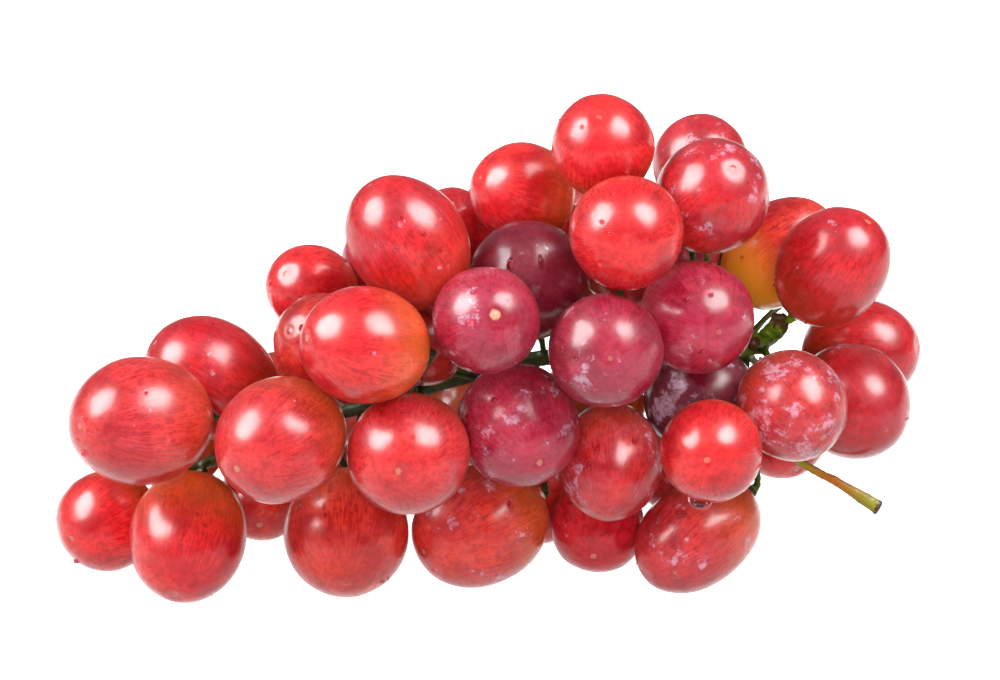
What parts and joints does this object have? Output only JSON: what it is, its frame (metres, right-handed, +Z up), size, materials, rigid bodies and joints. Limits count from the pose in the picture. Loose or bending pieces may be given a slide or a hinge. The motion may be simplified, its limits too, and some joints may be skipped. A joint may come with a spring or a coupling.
{
  "type": "bunch of grapes",
  "caption": "Bunch of large round red table grapes lying on its side, tapering to a tip, on a branching green stem with a bare stalk end.",
  "frame": {"origin": "middle of the bunch's box in plan, on the surface that it lies on", "axes": "+X along the bunch from its tip to its stalk end, +Y to its rear, +Z up"},
  "size_m": [0.192, 0.1158, 0.1082],
  "materials": {
    "skin_rose": "wet gloss, pink-red skin with pale streaks and a thin bloom",
    "skin_scarlet": "wet gloss, bright red skin with darker streaks",
    "skin_crimson": "wet gloss, dark red skin with patches of bloom",
    "skin_plum": "gloss, purple skin with a whitish-lilac bloom",
    "skin_amber": "wet gloss, orange-red skin that lets the light through",
    "stem": "satin green bark, browner at broken ends"
  },
  "bodies": {
    "root": {"grape_01": "skin_rose", "grape_02": "skin_crimson", "grape_03": "skin_scarlet", "grape_04": "skin_scarlet", "grape_05": "skin_rose", "grape_06": "skin_scarlet", "grape_07": "skin_rose", "grape_08": "skin_crimson", "grape_09": "skin_scarlet", "grape_10": "skin_amber", "grape_11": "skin_plum", "grape_12": "skin_plum", "grape_13": "skin_plum", "grape_14": "skin_scarlet", "grape_15": "skin_scarlet", "grape_16": "skin_scarlet", "grape_17": "skin_plum", "grape_18": "skin_crimson", "grape_19": "skin_crimson", "grape_20": "skin_plum", "grape_21": "skin_amber", "grape_22": "skin_crimson", "grape_23": "skin_crimson", "grape_24": "skin_crimson", "grape_25": "skin_rose", "grape_26": "skin_scarlet", "grape_27": "skin_plum", "grape_28": "skin_rose", "grape_29": "skin_rose", "grape_30": "skin_crimson", "grape_31": "skin_amber", "grape_32": "skin_amber", "grape_33": "skin_amber", "grape_34": "skin_amber", "grape_35": "skin_scarlet", "grape_36": "skin_crimson", "grape_37": "skin_plum", "grape_38": "skin_amber", "grape_39": "skin_scarlet", "grape_40": "skin_crimson", "grape_41": "skin_rose", "grape_42": "skin_crimson", "grape_43": "skin_plum", "grape_44": "skin_scarlet", "grape_45": "skin_crimson", "grape_46": "skin_rose", "grape_47": "skin_crimson", "grape_48": "skin_plum", "grape_49": "skin_scarlet", "grape_50": "skin_crimson", "grape_51": "skin_rose", "grape_52": "skin_crimson", "grape_53": "skin_plum", "grape_54": "skin_scarlet", "grape_55": "skin_crimson", "grape_56": "skin_rose", "grape_57": "skin_crimson", "grape_58": "skin_plum", "stem": "stem"}
  },
  "joints": []
}
